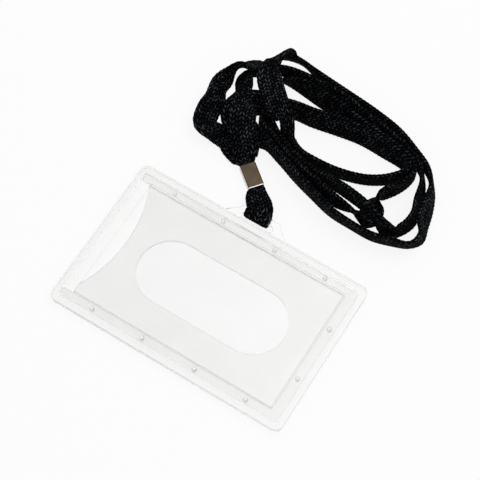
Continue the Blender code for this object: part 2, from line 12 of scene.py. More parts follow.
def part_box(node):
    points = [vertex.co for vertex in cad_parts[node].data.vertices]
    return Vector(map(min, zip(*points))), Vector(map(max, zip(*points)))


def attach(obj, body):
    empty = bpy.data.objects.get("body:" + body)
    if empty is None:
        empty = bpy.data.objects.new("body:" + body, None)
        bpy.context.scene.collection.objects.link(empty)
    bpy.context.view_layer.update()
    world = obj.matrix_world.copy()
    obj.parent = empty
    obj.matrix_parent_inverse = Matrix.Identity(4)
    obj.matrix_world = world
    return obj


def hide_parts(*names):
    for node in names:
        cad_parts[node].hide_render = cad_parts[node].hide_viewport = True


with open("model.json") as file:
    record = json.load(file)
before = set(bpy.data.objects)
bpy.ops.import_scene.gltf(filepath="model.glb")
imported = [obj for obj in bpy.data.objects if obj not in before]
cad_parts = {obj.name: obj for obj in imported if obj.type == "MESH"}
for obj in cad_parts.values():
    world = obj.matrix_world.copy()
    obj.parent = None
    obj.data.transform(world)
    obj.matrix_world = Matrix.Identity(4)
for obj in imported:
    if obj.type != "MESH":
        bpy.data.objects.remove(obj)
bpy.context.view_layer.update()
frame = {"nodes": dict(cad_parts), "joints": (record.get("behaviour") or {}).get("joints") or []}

bl_info = {
    "name": "Badge Holder with Lanyard",
    "version": (1, 0, 0),
    "blender": (4, 5, 0),
    "location": "View3D > Sidebar > Badge",
    "description": "Builds a milky card holder with a flat knitted neck strap",
    "category": "Add Mesh",
}

MM = 0.001

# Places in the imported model, and the holder's width without its tab
HOLDER_WIDTH = 69.2 * MM
BACK_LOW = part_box("back_shell")[0]
HOLDER_MIDDLE = Vector((0, BACK_LOW.y + 0.5 * HOLDER_WIDTH, 0))
FERRULE_LOW, FERRULE_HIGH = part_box("ferrule")
FERRULE_CENTRE = 0.5 * (FERRULE_LOW + FERRULE_HIGH)
BAR_AXIS = Vector(frame["joints"][0]["pos_m"])

# Ferrule: its turn and size, and the widths of its painted highlight at the end, of its painted highlight
# on the side and of its folded layers, where painted dark strips of shade break the side's highlight
FERRULE_ANGLE = math.radians(141.3)
FERRULE_LENGTH = 10.9 * MM
FERRULE_WIDTH = 6.9 * MM
FERRULE_ROUNDING = 0.1 * MM
PAINTED_END_HIGHLIGHT = 0.35 * MM
PAINTED_SIDE_HIGHLIGHT = 0.45 * MM
FOLD_LAYER = 1.0 * MM

# Strap in the ferrule: height of each layer from the middle, how near the middle its ends come,
# how far outside it is still pinched, and its size there and just outside
LAYER_OFFSET = 0.65 * MM
END_FROM_MIDDLE = 0.5 * MM
PINCH_REACH = 0.3 * MM
PINCHED_WIDTH = 5.3 * MM
HELD_THICKNESS = 1.0 * MM
MOUTH_WIDTH_SHARE = 0.92
UPPER_LEG_MOUTH_WIDTH = 6.8 * MM

# Strap, from one end in the ferrule to the other: x and y from the holder's middle and how far it
# is lifted off the table, in millimetres, and how far its left side leans up out of flat, in
# degrees. Unlifted, its edge is STRAP_CLEARANCE above the table, and its middle, where it lies flat,
# STRAP_FLAT_HEIGHT more
STRAP_CLEARANCE = 0.3 * MM
STRAP_FLAT_HEIGHT = 0.7 * MM
STRAP_ROUTE = [
    # Out of the ferrule, flat, and up the left side
    (-19.9, 58.4, 0.6, 0), (-26.5, 61.0, 0.0, 0), (-29.6, 62.5, 0.0, 4), (-36.1, 62.3, 0.3, 16),
    (-41.7, 62.4, 0.0, 30), (-44.1, 68.8, 0.0, 34), (-44.2, 73.9, 0.0, 40), (-46.1, 80.4, 0.0, 60),
    (-45.2, 85.7, 0.0, 70),
    # Second strand of the far side
    (-44.2, 92.4, 0.0, 106), (-41.0, 95.5, 0.0, 138), (-36.6, 98.5, 0.1, 136), (-26.1, 100.4, 0.1, 93),
    (-8.5, 102.2, 0.0, 90), (3.5, 101.0, 0.0, 80), (16.0, 98.0, 0.0, 78), (26.5, 96.5, 0.0, 82),
    (36.0, 94.5, 0.0, 90),
    # Round the right end and back along the near side
    (44.0, 90.5, 0.0, 95), (48.5, 84.5, 0.0, 102), (50.5, 76.5, 0.0, 103), (52.5, 70.0, 0.0, 103),
    (51.2, 63.8, 0.0, 95), (48.5, 59.9, 0.5, 90), (43.6, 58.8, 5.4, 90), (37.0, 60.5, 7.0, 90),
    (29.5, 62.5, 6.0, 90), (18.0, 65.5, 1.5, 88), (7.0, 66.0, 0.0, 88), (-3.5, 68.5, 0.0, 88),
    (-12.5, 73.0, 0.0, 88), (-15.6, 74.9, 0.0, 90),
    # Hairpin under the upper strands
    (-18.9, 76.9, 0.0, 90), (-21.6, 77.0, 0.0, 90), (-22.3, 74.6, 0.0, 90), (-19.0, 72.2, 0.0, 88),
    # Third strand of the near side, passing under the second
    (-11.5, 69.5, 0.0, 90), (-3.0, 66.0, 0.0, 90), (7.0, 63.5, 0.0, 90), (17.6, 60.5, 0.0, 84),
    (29.6, 59.8, 0.0, 108), (36.6, 60.5, 0.0, 156), (36.3, 66.2, 0.0, 150), (36.0, 70.9, 0.0, 96),
    (40.5, 78.0, 0.0, 90), (43.0, 84.5, 0.0, 92), (42.5, 88.5, 0.0, 90), (39.0, 91.0, 0.0, 92),
    # Third strand of the far side
    (34.0, 92.0, 0.0, 100), (24.5, 93.0, 0.0, 106), (14.0, 94.5, 0.0, 105), (3.0, 96.5, 0.0, 104),
    (-7.5, 97.5, 0.0, 102), (-17.5, 98.3, 0.0, 95), (-26.0, 96.2, 0.0, 60), (-35.6, 95.6, 0.0, 40),
    # Turn at the left, lying nearly flat
    (-39.3, 90.0, 0.0, 46), (-36.6, 84.6, 0.5, 48), (-35.4, 76.0, 3.0, 20), (-32.8, 70.6, 3.2, 14),
    (-24.2, 67.8, 2.8, 35), (-15.0, 67.0, 1.2, 86),
    # Nearest strand of the near side, and the outermost turn of the right end
    (-7.5, 65.0, 0.0, 90), (3.0, 61.0, 0.0, 90), (12.5, 57.9, 0.0, 92), (22.6, 54.9, 0.0, 95),
    (32.6, 54.0, 0.0, 99), (42.2, 54.0, 0.0, 99), (50.2, 56.1, 0.0, 100), (56.8, 58.6, 0.0, 103),
    (59.1, 64.0, 0.0, 80), (56.6, 70.1, 0.0, 63), (54.8, 77.6, 0.0, 65), (52.6, 84.8, 0.0, 77),
    (47.4, 91.2, 0.0, 84),
    # Outermost strand of the far side, up to the peak
    (38.6, 95.6, 0.0, 90), (28.5, 99.6, 0.0, 92), (17.0, 102.1, 0.0, 90), (5.5, 103.7, 0.0, 88),
    (-6.0, 105.2, 0.0, 84), (-15.0, 106.7, 0.0, 78), (-22.3, 108.1, 0.5, 69), (-28.2, 105.6, 3.4, 67),
    # Down across the strands beneath it
    (-29.1, 97.7, 13.2, 50), (-28.9, 91.8, 12.6, 28), (-24.0, 86.0, 12.0, 22), (-18.2, 80.3, 13.4, 36),
    (-11.4, 75.8, 11.4, 66),
    # Innermost strands
    (-7.6, 73.0, 2.8, 84), (-1.4, 71.0, 0.0, 94), (8.0, 70.5, 0.0, 96), (17.5, 71.5, 0.0, 97),
    (27.5, 74.5, 0.0, 97), (34.0, 78.5, 0.0, 95), (39.0, 83.5, 0.0, 90), (40.8, 86.5, 0.0, 90),
    (37.4, 89.4, 0.0, 95), (27.5, 91.0, 0.0, 106), (16.0, 91.5, 0.0, 108), (5.0, 90.0, 0.0, 110),
    (-5.0, 88.0, 0.0, 108), (-13.0, 87.0, 0.0, 106), (-19.5, 84.8, 0.0, 118), (-25.2, 83.2, 0.0, 124),
    # Over the left turn and down into the ferrule
    (-29.6, 78.2, 6.0, 150), (-28.0, 70.8, 12.4, 166), (-25.5, 65.9, 12.0, 175),
    (-23.1, 63.0, 10.2, 179), (-20.9, 61.2, 6.3, 180), (-19.9, 58.4, 2.6, 180),
]

# The slot loop's legs, the lower from the ferrule to the bar and the upper back again: x and y from
# the holder's middle, height, direction of its width and width, in millimetres and degrees
LOWER_LEG = [(-6.4, 47.4, 1.6, 50, 6.6), (-4.1, 45.2, 1.3, 42, 8.8), (-2.4, 42.4, 1.0, 18, 10.4)]
UPPER_LEG = [(-1.1, 40.4, 5.75, 4, 10.4), (-3.3, 42.8, 5.2, 11, 10.8), (-5.6, 45.1, 4.4, 23, 9.9),
             (-7.0, 47.0, 3.6, 36, 8.6)]

# Turn of the loop round the bar, and the skew that its width takes on from part of the way round
LOOP_RADIUS = 2.45 * MM
LOOP_TURN_STEPS = 12
LOOP_SKEW = math.radians(3)
LOOP_SKEW_START = math.radians(110)

# Section of the strap: the lower the power, the fuller its edges and faces
EDGE_POWER = 0.35
FACE_POWER = 0.85

# Room for the strap: only a stretch of it that is more than this far along presses on it, its
# thickness eases over this many rings each way, and nothing of it is nearer the table than this
OTHER_STRETCH = 14 * MM
EASING_RINGS = 4
TABLE_GAP = 0.03 * MM

# Knit: columns of stitches right round the strap, points across a column, rings to a stitch, and
# the loop's distance between rings as a share of the neck strap's
COLUMNS_ROUND = 18
POINTS_PER_COLUMN = 3
RINGS_PER_STITCH = 3
LOOP_STEP_SHARE = 0.8

# Stitches: slant across a column, and the shift along of a column, which is STAGGER times the
# square of its number, both in stitches, and the powers that narrow a crown across and along, and with it
# the painted glint on each crown
STITCH_SLANT = 0.8
STAGGER = 0.37
CROWN_ACROSS = 1.6
CROWN_ALONG = 2.0

# Strap where it is gathered into the ferrule: pleats across it, their height and the share of
# relief that its stitches lose, both for a strap gathered to nothing
PLEATS = 3
PLEAT_HEIGHT = 0.385 * MM
RELIEF_LOSS = 0.8

# Plastic, and how much darker its cloudy places are
PLASTIC_IOR = 1.35
PLASTIC_TRANSMISSION = 0.985
CLOUD_SHADE = 0.985

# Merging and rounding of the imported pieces
MERGE_DISTANCE = 2e-6
FLAT_ANGLE = math.radians(1)
SHARP_ANGLE = math.radians(35)

# Stage: the point that the camera looks at, the floor, and the lamp. FLOOR_WHITENESS is the share
# of plain white in what the camera sees of the floor
VIEW_TARGET = Vector((-2.618 * MM, 27.174 * MM + HOLDER_MIDDLE.y, 0))
FLOOR_HALF_SIZE = 3.0
FLOOR_DROP = 0.02 * MM
FLOOR_COLOUR = (0.93, 0.93, 0.93, 1)
FLOOR_WHITENESS = 0.88
LAMP_SIZE = 0.7
LAMP_PLACE = (0.20, 0.30, 0.72)


class BadgeHolderSettings(bpy.types.PropertyGroup):
    """Sizes and colours of the two plastic mouldings and their studs."""
    colour: bpy.props.FloatVectorProperty(
        name="Plastic colour", description="Tint that light takes deep in the plastic", subtype="COLOR",
        size=3, min=0, max=1, default=(0.45, 0.46, 0.43))
    density: bpy.props.FloatProperty(
        name="Plastic depth", description="How fast light takes that tint, per metre", min=0, default=40)
    roughness: bpy.props.FloatProperty(
        name="Frosting", description="Roughness of the moulded faces", min=0, max=1, default=0.22)
    edge_radius: bpy.props.FloatProperty(
        name="Edge radius", description="Rounding of every moulded edge", unit="LENGTH", default=0.28 * MM)


class BadgeStrapSettings(bpy.types.PropertyGroup):
    """Sizes and colours of the knitted strap."""
    width: bpy.props.FloatProperty(
        name="Strap width", description="Width of the flat strap", unit="LENGTH", default=11 * MM)
    thickness: bpy.props.FloatProperty(
        name="Strap thickness", description="Thickness of the strap where nothing presses on it",
        unit="LENGTH", default=1.9 * MM)
    loop_thickness: bpy.props.FloatProperty(
        name="Loop thickness", description="Thickness of the strap in the slot", unit="LENGTH",
        default=1.5 * MM)
    stitch: bpy.props.FloatProperty(
        name="Stitch length", description="Length of one knitted stitch along the strap", unit="LENGTH",
        default=1.75 * MM)
    relief: bpy.props.FloatProperty(
        name="Stitch relief", description="Height of the stitches", unit="LENGTH", default=0.22 * MM)
    # Groove colour is painted shade deep between the stitches. Yarn colour is the painted glint on the
    # crown of a stitch; the yarn itself is black
    painted_groove_shade: bpy.props.FloatVectorProperty(
        name="Groove colour", description="Colour deep between the stitches", subtype="COLOR", size=3,
        min=0, max=1, default=(0.0010, 0.0013, 0.0018))
    painted_crown_glint: bpy.props.FloatVectorProperty(
        name="Yarn colour", description="Colour of the yarn on the crown of a stitch", subtype="COLOR",
        size=3, min=0, max=1, default=(0.078, 0.079, 0.086))


class BadgeFerruleSettings(bpy.types.PropertyGroup):
    """Finish of the folded metal ferrule."""
    # Metal colour is a dark brown that paints the reflection of dark surroundings on the nickel plating
    colour: bpy.props.FloatVectorProperty(
        name="Metal colour", description="Colour of the plated faces", subtype="COLOR", size=3, min=0,
        max=1, default=(0.088, 0.066, 0.043))
    # Edge colour is the painted highlight on the end towards the slot and on the folded left side
    painted_highlight_colour: bpy.props.FloatVectorProperty(
        name="Edge colour", description="Colour of the bright end and folded side", subtype="COLOR",
        size=3, min=0, max=1, default=(0.80, 0.78, 0.76))
    roughness: bpy.props.FloatProperty(
        name="Polish", description="Roughness of the metal", min=0, max=1, default=0.3)


class BadgeStageSettings(bpy.types.PropertyGroup):
    """Camera, light and floor."""
    azimuth: bpy.props.FloatProperty(
        name="Camera azimuth", description="Direction of the view round the object", unit="ROTATION",
        default=0.55839)
    elevation: bpy.props.FloatProperty(
        name="Camera elevation", description="Height of the view above the table", unit="ROTATION",
        default=1.1371)
    distance: bpy.props.FloatProperty(
        name="Camera distance", description="From the camera to the point it looks at", unit="LENGTH",
        default=644.45 * MM)
    field: bpy.props.FloatProperty(
        name="Field of view", description="Angle that the picture takes in", unit="ROTATION",
        default=0.29671)
    world_light: bpy.props.FloatProperty(
        name="Ambient light", description="Strength of the even light from all round", min=0, default=0.62)
    lamp_power: bpy.props.FloatProperty(
        name="Lamp power", description="Power of the large soft lamp", min=0, subtype="POWER", default=2.4)


def new_object(name, data):
    """An object of this data, linked to the scene."""
    obj = bpy.data.objects.new(name, data)
    bpy.context.scene.collection.objects.link(obj)
    return obj


def mesh_from(shape, name):
    """A mesh made from a bmesh, which is then freed."""
    mesh = bpy.data.meshes.new(name)
    shape.to_mesh(mesh)
    shape.free()
    return mesh


class MaterialMaker:
    """Short ways of adding and joining a material's nodes."""

    def __init__(self, name):
        self.material = bpy.data.materials.new(name)
        self.material.use_nodes = True
        self.tree = self.material.node_tree
        self.shader = self.tree.nodes["Principled BSDF"]

    def add(self, kind, **values):
        node = self.tree.nodes.new(kind)
        for key, value in values.items():
            setattr(node, key, value)
        return node

    def join(self, source, target):
        self.tree.links.new(source, target)

    def feed(self, socket, value):
        if isinstance(value, bpy.types.NodeSocket):
            self.join(value, socket)
        else:
            socket.default_value = value

    def math(self, operation, first, second=0.0):
        node = self.add("ShaderNodeMath", operation=operation)
        self.feed(node.inputs[0], first)
        self.feed(node.inputs[1], second)
        return node.outputs[0]

    def noise(self, vector, scale, detail=3.0, roughness=0.5):
        node = self.add("ShaderNodeTexNoise")
        self.join(vector, node.inputs["Vector"])
        node.inputs["Scale"].default_value = scale
        node.inputs["Detail"].default_value = detail
        node.inputs["Roughness"].default_value = roughness
        return node.outputs["Fac"]

    def place(self, stretch=(1, 1, 1), turn=0.0):
        coordinates = self.add("ShaderNodeTexCoord")
        mapping = self.add("ShaderNodeMapping")
        mapping.inputs["Scale"].default_value = stretch
        mapping.inputs["Rotation"].default_value = (0, 0, turn)
        self.join(coordinates.outputs["Object"], mapping.inputs["Vector"])
        return mapping.outputs["Vector"]

    def stretched(self, vector, stretch):
        mapping = self.add("ShaderNodeMapping")
        mapping.inputs["Scale"].default_value = stretch
        self.join(vector, mapping.inputs["Vector"])
        return mapping.outputs["Vector"]

    def ramp(self, factor, low, high, start, end):
        node = self.add("ShaderNodeValToRGB")
        node.color_ramp.elements[0].position = start
        node.color_ramp.elements[1].position = end
        node.color_ramp.elements[0].color = (*low, 1)
        node.color_ramp.elements[1].color = (*high, 1)
        self.join(factor, node.inputs["Fac"])
        return node.outputs["Color"]

    def spread(self, factor, low, high):
        node = self.add("ShaderNodeMapRange")
        self.join(factor, node.inputs["Value"])
        node.inputs["To Min"].default_value = low
        node.inputs["To Max"].default_value = high
        return node.outputs["Result"]

    def bump(self, height, distance, strength):
        node = self.add("ShaderNodeBump")
        self.join(height, node.inputs["Height"])
        node.inputs["Distance"].default_value = distance
        node.inputs["Strength"].default_value = strength
        self.join(node.outputs["Normal"], self.shader.inputs["Normal"])


def plastic_material(name, clearness=1.0, depth=1.0):
    """Milky moulded plastic: it takes light by its thickness, scatters a little and is faintly wavy.

    clearness scales its colour, and depth how fast it takes the tint.
    """
    settings = bpy.context.scene.badge_holder
    maker = MaterialMaker(name)
    shader = maker.shader
    cloud = maker.noise(maker.place(), 60, 4)
    clear = [channel * clearness for channel in (1.0, 1.0, 0.997)]
    darker = [channel * CLOUD_SHADE for channel in clear]
    maker.join(maker.ramp(cloud, darker, clear, 0.35, 0.65), shader.inputs["Base Color"])
    scuffs = maker.noise(maker.place((40, 900, 200), 0.5), 1.0, 5, 0.6)
    rough = maker.spread(scuffs, settings.roughness - 0.05, settings.roughness + 0.09)
    maker.join(rough, shader.inputs["Roughness"])
    shader.inputs["IOR"].default_value = PLASTIC_IOR
    shader.inputs["Transmission Weight"].default_value = PLASTIC_TRANSMISSION
    maker.bump(maker.noise(maker.place(), 120, 3), 0.04 * MM, 0.5)
    volume = maker.add("ShaderNodeVolumeAbsorption")
    volume.inputs["Color"].default_value = (*settings.colour, 1)
    volume.inputs["Density"].default_value = settings.density * depth
    maker.join(volume.outputs["Volume"], maker.tree.nodes["Material Output"].inputs["Volume"])
    return maker.material


def knit_material(name):
    """Black knitted yarn in staggered slanted stitches. Its colour is painted shade, darkest in the
    grooves, and painted glints on the crowns, of uneven strength from stitch to stitch.
    """
    settings = bpy.context.scene.badge_strap
    maker = MaterialMaker(name)
    shader = maker.shader
    uv = maker.add("ShaderNodeUVMap", uv_map="knit")
    split = maker.add("ShaderNodeSeparateXYZ")
    maker.join(uv.outputs["UV"], split.inputs["Vector"])
    across = split.outputs["X"]
    number = maker.math("FLOOR", across)
    shift = maker.math("FRACT", maker.math("MULTIPLY", maker.math("MULTIPLY", number, number), STAGGER))
    side = maker.math("SUBTRACT", maker.math("FRACT", across), 0.5)
    turn = maker.math("SUBTRACT", maker.math("MULTIPLY", maker.math("MODULO", number, 2.0), 2.0), 1.0)
    slant = maker.math("MULTIPLY", maker.math("MULTIPLY", side, turn), STITCH_SLANT)
    slant = maker.math("ADD", maker.math("ADD", split.outputs["Y"], slant), shift)
    wave = maker.math("COSINE", maker.math("MULTIPLY", slant, 2 * math.pi))
    wave = maker.math("ADD", maker.math("MULTIPLY", wave, 0.5), 0.5)
    column = maker.math("COSINE", maker.math("MULTIPLY", side, math.pi))
    column = maker.math("POWER", column, CROWN_ACROSS)
    crown = maker.math("MULTIPLY", column, maker.math("POWER", wave, CROWN_ALONG))
    place = maker.add("ShaderNodeCombineXYZ")
    maker.join(number, place.inputs["X"])
    maker.join(maker.math("FLOOR", maker.math("ADD", slant, 0.5)), place.inputs["Y"])
    stitch = maker.add("ShaderNodeTexWhiteNoise", noise_dimensions="3D")
    maker.join(place.outputs["Vector"], stitch.inputs["Vector"])
    fibre = maker.noise(maker.stretched(uv.outputs["UV"], (14, 3.5, 1)), 1.0, 3, 0.65)
    # Painted light: painted shade in the grooves and painted glints on the crowns, each stitch's glint of
    # its own strength
    painted_shade_and_glint = maker.math("MULTIPLY", crown, maker.math("ADD", fibre, 0.4))
    painted_glint_strength = maker.math("MULTIPLY", stitch.outputs["Value"], stitch.outputs["Value"])
    painted_glint_strength = maker.math("ADD", maker.math("MULTIPLY", painted_glint_strength, 0.95), 0.2)
    painted_shade_and_glint = maker.math("MULTIPLY", painted_shade_and_glint, painted_glint_strength)
    maker.join(maker.ramp(painted_shade_and_glint, settings.painted_groove_shade, settings.painted_crown_glint, 0.04, 0.80),
               shader.inputs["Base Color"])
    shader.inputs["Roughness"].default_value = 0.55
    shader.inputs["Specular IOR Level"].default_value = 0.003
    height = maker.math("ADD", crown, maker.math("MULTIPLY", fibre, 0.3))
    maker.bump(height, 0.16 * MM, 0.8)
    return maker.material


def metal_material(name):
    """Dull plated metal, brushed lengthwise. Its faces are painted a dark brown for the reflection of dark
    surroundings, and it has painted highlights at its end towards the slot and on its left side, the side
    one striped with painted shade between its folded layers.
    """
    settings = bpy.context.scene.badge_ferrule
    maker = MaterialMaker(name)
    shader = maker.shader
    shader.inputs["Metallic"].default_value = 1.0
    local = maker.add("ShaderNodeMapping")
    away = Vector(FERRULE_CENTRE)
    away.rotate(Euler((0, 0, -FERRULE_ANGLE)))
    local.inputs["Location"].default_value = -away
    local.inputs["Rotation"].default_value = (0, 0, -FERRULE_ANGLE)
    maker.join(maker.add("ShaderNodeTexCoord").outputs["Object"], local.inputs["Vector"])
    split = maker.add("ShaderNodeSeparateXYZ")
    maker.join(local.outputs["Vector"], split.inputs["Vector"])
    # Painted highlights: a bright band at the end towards the slot and one on the left side, the side one
    # broken by strips of painted shade between the folded layers
    end = maker.math("LESS_THAN", split.outputs["X"], -0.5 * FERRULE_LENGTH + PAINTED_END_HIGHLIGHT)
    side = maker.math("GREATER_THAN", split.outputs["Y"], 0.5 * FERRULE_WIDTH - PAINTED_SIDE_HIGHLIGHT)
    layers = maker.math("SINE", maker.math("MULTIPLY", split.outputs["Z"], 2 * math.pi / FOLD_LAYER))
    side = maker.math("MULTIPLY", side, maker.math("GREATER_THAN", layers, -0.5))
    bright = maker.math("MAXIMUM", end, side)
    cloud = maker.noise(maker.place(), 260, 3)
    # Face colour, a painted reflection of dark surroundings, varied at random
    low = [channel * 0.85 for channel in settings.colour]
    high = [min(channel * 1.15, 1.0) for channel in settings.colour]
    mix = maker.add("ShaderNodeMix", data_type="RGBA")
    maker.join(bright, mix.inputs["Factor"])
    maker.join(maker.ramp(cloud, low, high, 0.3, 0.7), mix.inputs["A"])
    mix.inputs["B"].default_value = (*settings.painted_highlight_colour, 1)
    maker.join(mix.outputs["Result"], shader.inputs["Base Color"])
    brushed = maker.noise(maker.stretched(local.outputs["Vector"], (200, 6000, 3000)), 1.0, 3)
    roughness = maker.spread(brushed, settings.roughness - 0.05, settings.roughness + 0.1)
    maker.join(roughness, shader.inputs["Roughness"])
    maker.bump(brushed, 0.01 * MM, 0.4)
    return maker.material


def rounded_copy(node, name, radius, segments=3):
    """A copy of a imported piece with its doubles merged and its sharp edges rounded."""
    shape = bmesh.new()
    shape.from_mesh(frame["nodes"][node].data)
    bmesh.ops.remove_doubles(shape, verts=shape.verts, dist=MERGE_DISTANCE)
    bmesh.ops.dissolve_limit(shape, angle_limit=FLAT_ANGLE, verts=shape.verts, edges=shape.edges)
    sharp = [e for e in shape.edges if len(e.link_faces) == 2 and e.calc_face_angle(0) > SHARP_ANGLE]
    bmesh.ops.bevel(shape, geom=sharp, offset=radius, offset_type="OFFSET", segments=segments, profile=0.5,
                    affect="EDGES", clamp_overlap=True, material=-1)
    bmesh.ops.triangulate(shape, faces=[f for f in shape.faces if len(f.verts) > 4])
    mesh = mesh_from(shape, name)
    mesh.shade_smooth()
    mesh.normals_split_custom_set_from_vertices(flat_first_normals(mesh))
    return new_object(name, mesh)


def flat_first_normals(mesh):
    """One normal a vertex, weighted by face area, so that large faces look flat up to the roundings."""
    normals = np.zeros((len(mesh.vertices), 3))
    for face in mesh.polygons:
        normals[list(face.vertices)] += np.array(face.normal) * face.area
    return unit(normals)


def finish_piece(obj, material, body, slot, *nodes):
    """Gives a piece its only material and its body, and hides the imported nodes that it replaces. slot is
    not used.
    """
    obj.data.materials.clear()
    obj.data.materials.append(material)
    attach(obj, body)
    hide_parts(*nodes)


class BADGE_OT_stage(bpy.types.Operator):
    """Adds the pale table, the soft light and the camera"""
    bl_idname = "badge.stage"
    bl_label = "Stage"

    def execute(self, context):
        settings = context.scene.badge_stage
        self.add_camera(context, settings)
        self.add_floor()
        self.add_light(context, settings)
        return {"FINISHED"}

    def add_camera(self, context, settings):
        camera = new_object("camera", bpy.data.cameras.new("camera"))
        camera.data.sensor_width = 36
        camera.data.lens = 0.5 * camera.data.sensor_width / math.tan(0.5 * settings.field)
        back = Vector((math.sin(settings.azimuth) * math.cos(settings.elevation),
                       -math.cos(settings.azimuth) * math.cos(settings.elevation),
                       math.sin(settings.elevation)))
        camera.location = VIEW_TARGET + back * settings.distance
        camera.rotation_euler = (-back).to_track_quat("-Z", "Y").to_euler()
        camera.data.clip_start = 0.01
        context.scene.camera = camera

    def add_floor(self):
        shape = bmesh.new()
        bmesh.ops.create_grid(shape, x_segments=2, y_segments=2, size=FLOOR_HALF_SIZE)
        floor = new_object("floor", mesh_from(shape, "floor"))
        floor.location.z = -FLOOR_DROP
        maker = MaterialMaker("floor_white")
        maker.shader.inputs["Base Color"].default_value = FLOOR_COLOUR
        maker.shader.inputs["Roughness"].default_value = 0.9
        maker.shader.inputs["Specular IOR Level"].default_value = 0.0
        glow = maker.add("ShaderNodeEmission")
        glow.inputs["Strength"].default_value = 1.0
        path = maker.add("ShaderNodeLightPath")
        through = maker.math("MAXIMUM", path.outputs["Is Transmission Ray"], path.outputs["Is Glossy Ray"])
        camera = maker.math("MULTIPLY", path.outputs["Is Camera Ray"], FLOOR_WHITENESS)
        seen = maker.math("MAXIMUM", camera, through)
        mix = maker.add("ShaderNodeMixShader")
        maker.join(seen, mix.inputs["Fac"])
        maker.join(maker.shader.outputs["BSDF"], mix.inputs[1])
        maker.join(glow.outputs["Emission"], mix.inputs[2])
        output = maker.tree.nodes["Material Output"]
        maker.join(mix.outputs["Shader"], output.inputs["Surface"])
        floor.data.materials.append(maker.material)

    def add_light(self, context, settings):
        world = bpy.data.worlds.new("soft_room")
        world.use_nodes = True
        context.scene.world = world
        tree = world.node_tree
        background = tree.nodes["Background"]
        path = tree.nodes.new("ShaderNodeLightPath")
        seen = path.outputs["Is Camera Ray"]
        for kind in ("Is Transmission Ray", "Is Glossy Ray"):
            either = tree.nodes.new("ShaderNodeMath")
            either.operation = "MAXIMUM"
            tree.links.new(seen, either.inputs[0])
            tree.links.new(path.outputs[kind], either.inputs[1])
            seen = either.outputs[0]
        strength = tree.nodes.new("ShaderNodeMapRange")
        strength.inputs["To Min"].default_value = settings.world_light
        strength.inputs["To Max"].default_value = 1.0
        tree.links.new(seen, strength.inputs["Value"])
        tree.links.new(strength.outputs["Result"], background.inputs["Strength"])
        background.inputs["Color"].default_value = (1, 1, 1, 1)
        lamp = bpy.data.lights.new("soft_lamp", "AREA")
        lamp.shape = "DISK"
        lamp.size = LAMP_SIZE
        lamp.energy = settings.lamp_power
        lamp_object = new_object("soft_lamp", lamp)
        lamp_object.location = LAMP_PLACE
        lamp_object.rotation_euler = (-lamp_object.location).to_track_quat("-Z", "Y").to_euler()
        context.scene.view_settings.view_transform = "Standard"


class BADGE_OT_shells(bpy.types.Operator):
    """Makes the back and front mouldings with rounded edges"""
    bl_idname = "badge.shells"
    bl_label = "Plastic shells"

    def execute(self, context):
        radius = context.scene.badge_holder.edge_radius
        back = rounded_copy("back_shell", "back_moulding", radius)
        back_plastic = plastic_material("back_plastic_milky", clearness=0.99)
        finish_piece(back, back_plastic, "holder", "back_plastic", "back_shell")
        front = rounded_copy("front_shell", "front_moulding", radius)
        front_plastic = plastic_material("front_plastic_milky", clearness=0.945)
        finish_piece(front, front_plastic, "holder", "front_plastic", "front_shell")
        return {"FINISHED"}


class BADGE_OT_studs(bpy.types.Operator):
    """Gives the heat-staked studs their melted plastic"""
    bl_idname = "badge.studs"
    bl_label = "Studs"

    def execute(self, context):
        material = plastic_material("stud_plastic_melted", depth=0.1)
        for name, node in frame["nodes"].items():
            if name.startswith("stud_"):
                node.data.materials.clear()
                node.data.materials.append(material)
                node.data.shade_smooth()
        return {"FINISHED"}


class BADGE_OT_ferrule(bpy.types.Operator):
    """Makes the folded metal ferrule"""
    bl_idname = "badge.ferrule"
    bl_label = "Ferrule"

    def execute(self, context):
        ferrule = rounded_copy("ferrule", "ferrule_sleeve", FERRULE_ROUNDING, segments=2)
        finish_piece(ferrule, metal_material("ferrule_plated"), "lanyard", "ferrule_steel", "ferrule")
        return {"FINISHED"}


def ferrule_point(along, layer):
    """Point of the upper (1) or lower (-1) layer of strap, this far along from the ferrule's middle."""
    axis = Vector((math.cos(FERRULE_ANGLE), math.sin(FERRULE_ANGLE), 0))
    return FERRULE_CENTRE + axis * along + Vector((0, 0, layer * LAYER_OFFSET))


def strap_rows(settings):
    """Rows of x, y, z, lean, width and thickness, from end to end of the neck strap."""
    rows = []
    for x, y, lift, lean in STRAP_ROUTE:
        lean = math.radians(lean)
        height = STRAP_CLEARANCE + lift * MM + 0.5 * settings.width * abs(math.sin(lean))
        height += STRAP_FLAT_HEIGHT * abs(math.cos(lean))
        place = (x * MM, y * MM + HOLDER_MIDDLE.y, height)
        rows.append([*place, lean, settings.width, settings.thickness])
    for row in (rows[0], rows[-1]):
        row[4] *= MOUTH_WIDTH_SHARE
        row[5] = 0.5 * (settings.thickness + HELD_THICKNESS)
    held = (END_FROM_MIDDLE, 0.5 * FERRULE_LENGTH + PINCH_REACH)
    size = (PINCHED_WIDTH, HELD_THICKNESS)
    lower = [[*ferrule_point(along, -1), 0, *size] for along in held]
    upper = [[*ferrule_point(along, 1), math.pi, *size] for along in reversed(held)]
    return np.array(lower + rows + upper)


